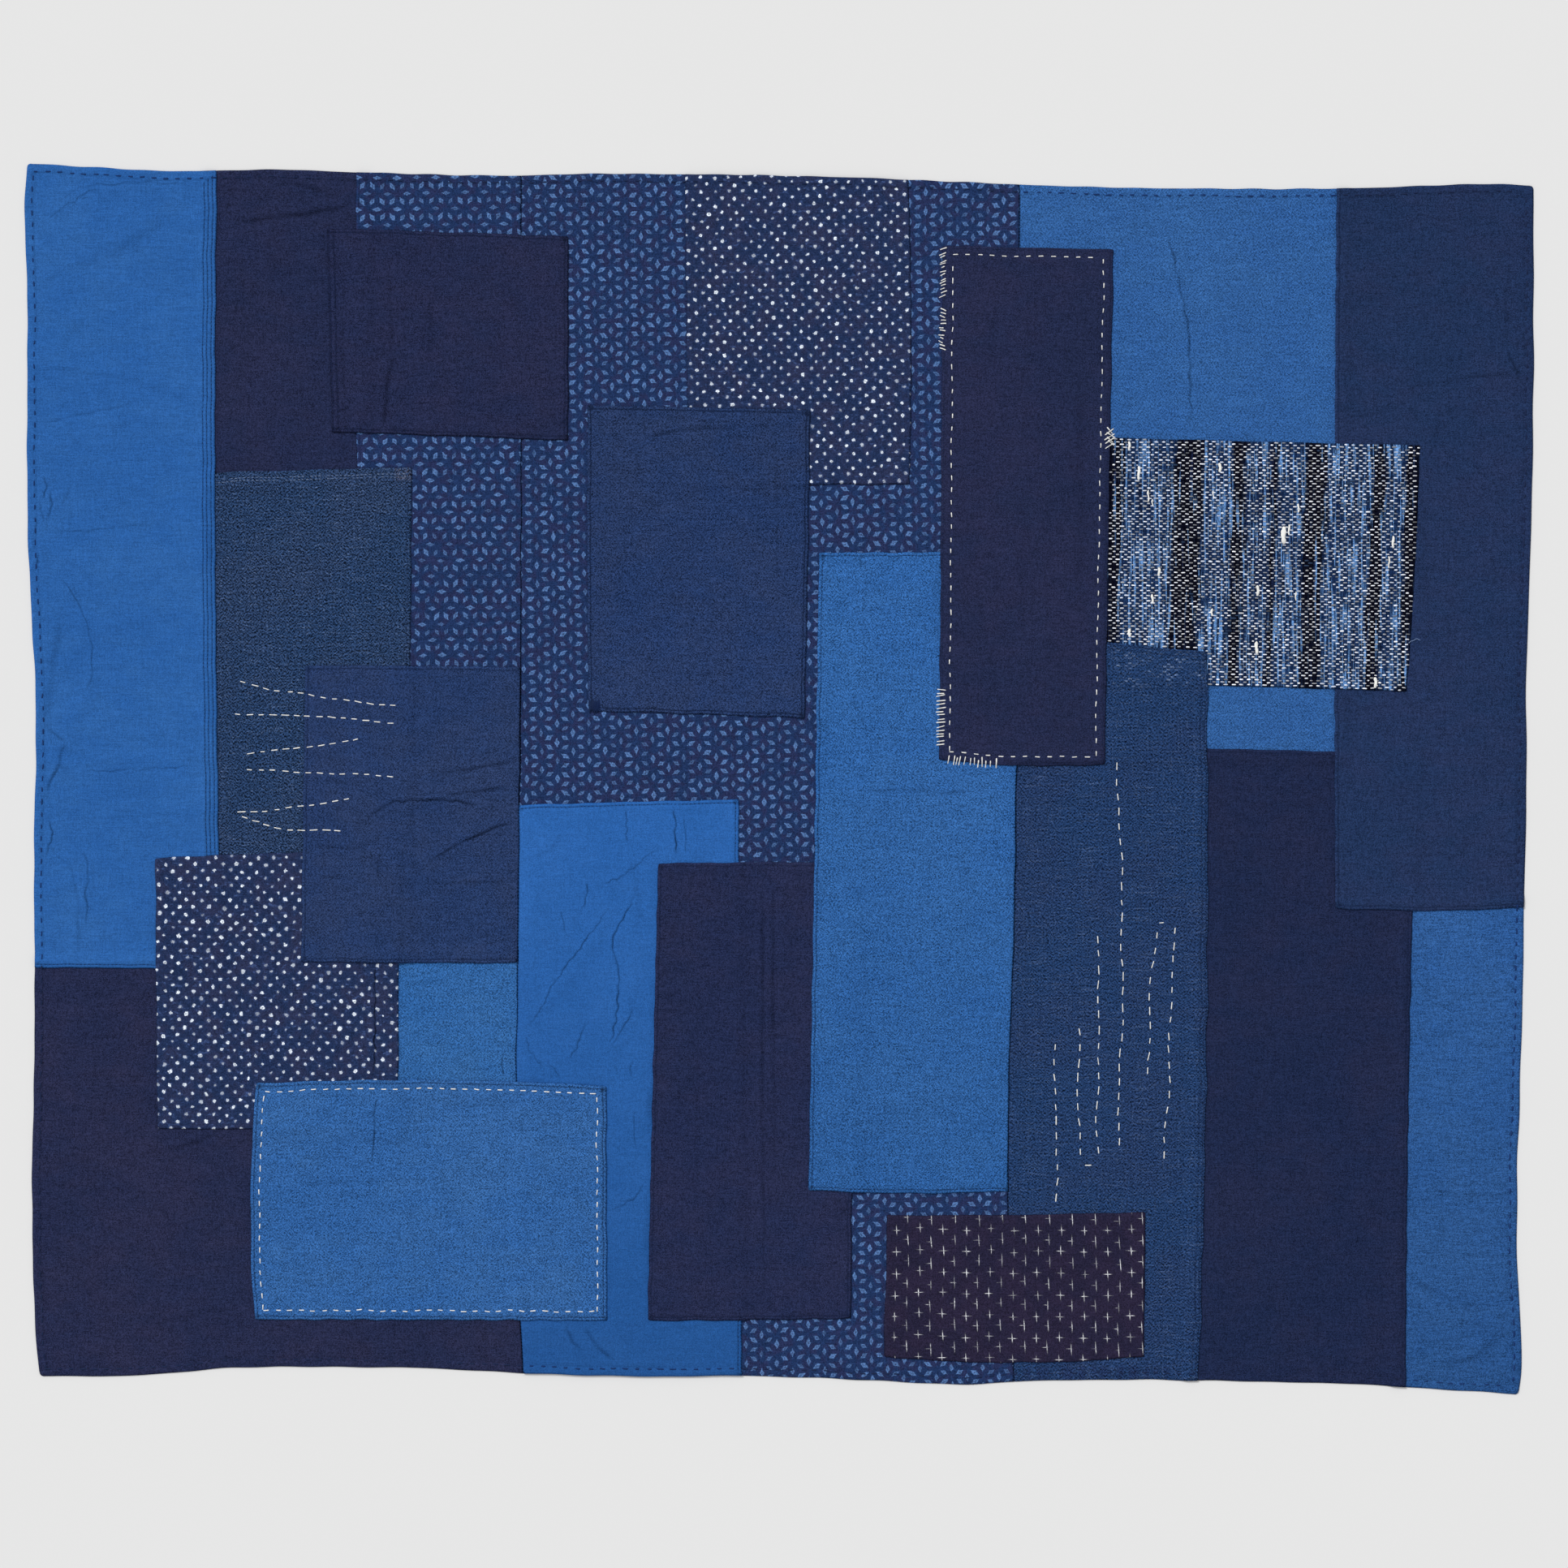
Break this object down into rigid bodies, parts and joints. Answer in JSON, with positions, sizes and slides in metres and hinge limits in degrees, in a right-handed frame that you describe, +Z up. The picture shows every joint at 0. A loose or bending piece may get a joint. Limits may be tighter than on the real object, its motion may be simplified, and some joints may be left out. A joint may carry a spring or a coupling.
{
  "type": "patchwork tablecloth",
  "caption": "Indigo cotton tablecloth pieced and patched from plain, printed and woven remnants with white running stitches, lying flat.",
  "frame": {"origin": "under the middle of the cloth's outline, on the surface it lies on", "axes": "+X along the long side to the right, +Y to the far long side, +Z up out of the cloth's face"},
  "size_m": [1.116, 0.91, 0.0062],
  "materials": {
    "navy_cotton": "plain-woven indigo cotton, dyed almost black, matt",
    "mid_indigo": "plain-woven indigo cotton of a middle shade, matt with faint slubs",
    "bright_blue": "crisp bright blue cotton, creased from washing, matt",
    "chambray": "blue chambray with a fleck of pale thread, matt",
    "hempleaf_print": "navy cotton with a pale blue hemp-leaf stencil print, matt",
    "dot_print": "navy cotton with rows of small white resist dots, matt",
    "loose_weave": "open, slubby indigo cotton that lets the cloth below show through a little, matt",
    "striped_slub": "rag weave in black and blue stripes with short white floats, rough and matt",
    "kasuri_weave": "dark kasuri cotton with small woven white crosses, matt",
    "white_thread": "soft twisted white sashiko cotton",
    "navy_thread": "dark indigo sewing cotton"
  },
  "bodies": {
    "root": {"top_navy": "navy_cotton", "hempleaf_left": "hempleaf_print", "lower_navy": "navy_cotton", "hempleaf_centre": "hempleaf_print", "top_blue": "chambray", "right_blue": "chambray", "dark_right": "navy_cotton", "right_navy": "mid_indigo", "gauze_left": "loose_weave", "left_blue": "bright_blue", "small_chambray": "chambray", "dots_lower": "dot_print", "dark_square": "navy_cotton", "creased_navy": "mid_indigo", "dots_upper": "dot_print", "mid_navy": "mid_indigo", "wrinkled_blue": "bright_blue", "dark_tall": "navy_cotton", "tall_chambray": "chambray", "bordered_chambray": "chambray", "striped_weave": "striped_slub", "sheer_tall": "loose_weave", "bordered_dark": "navy_cotton", "kasuri": "kasuri_weave"}
  },
  "joints": []
}
